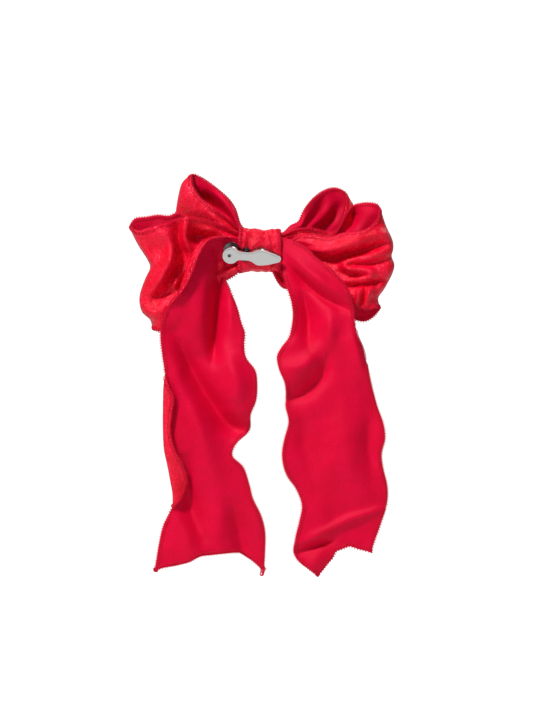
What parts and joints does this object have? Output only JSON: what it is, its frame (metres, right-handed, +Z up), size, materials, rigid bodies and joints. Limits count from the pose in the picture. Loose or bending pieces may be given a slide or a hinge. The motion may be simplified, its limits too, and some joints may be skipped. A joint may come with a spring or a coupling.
{
  "type": "hair bow",
  "caption": "Large velvet ribbon hair bow with an upper and a lower pair of loops, a wrapped knot, two long hanging tails and a sprung metal clip sewn to the back.",
  "frame": {"origin": "middle of the clip's closed jaws, where the hair is gripped", "axes": "+Z up as the bow is worn, tails hanging to -Z; +X to the right seen from the clip's side; +Y away from the head, out of the front of the bow"},
  "size_m": [0.1858, 0.0543, 0.2818],
  "materials": {
    "velvet": "crushed pile outside, matte satin reverse",
    "thread": "satin",
    "clip_steel": "polished",
    "spring_steel": "bright drawn wire"
  },
  "bodies": {
    "bow": {"lower_bow_strip": "velvet", "upper_bow_strip": "velvet", "tail_strip_middle": "velvet", "knot_band": "velvet", "gathering_thread": "thread", "lower_strip_top_overlock": "thread", "lower_strip_bottom_overlock": "thread", "upper_strip_top_overlock": "thread", "upper_strip_bottom_overlock": "thread", "tail_strip_middle_top_overlock": "thread", "tail_strip_middle_bottom_overlock": "thread", "knot_left_overlock": "thread", "knot_right_overlock": "thread", "clip_base_arm": "clip_steel", "clip_pin": "clip_steel", "clip_spring": "spring_steel", "clip_stitch_1": "thread", "clip_stitch_2": "thread"},
    "clip_jaw": {"clip_top_arm": "clip_steel"},
    "left_tail": {"left_tail": "velvet", "left_tail_outer_overlock": "thread", "left_tail_inner_overlock": "thread", "left_tail_hem_overlock": "thread"},
    "right_tail": {"right_tail": "velvet", "right_tail_outer_overlock": "thread", "right_tail_inner_overlock": "thread", "right_tail_hem_overlock": "thread"}
  },
  "joints": [
    {"name": "jaw_hinge", "type": "hinge", "parent": "bow", "child": "clip_jaw", "pos_m": [-0.01419, 0, 0.00174], "axis": [-0.1105, 0.4226, -0.8996], "range_deg": [0, 28], "stiffness_Nm_per_rad": 0.12, "springref_deg": -51.57, "deforming": ["clip_spring"]},
    {"name": "left_tail_swing", "type": "hinge", "parent": "bow", "child": "left_tail", "pos_m": [-0.0445, -0.0083, -0.036], "axis": [-1, 0, 0], "range_deg": [0, 75]},
    {"name": "right_tail_swing", "type": "hinge", "parent": "bow", "child": "right_tail", "pos_m": [0.0399, -0.0083, -0.036], "axis": [-1, 0, 0], "range_deg": [0, 75]}
  ]
}
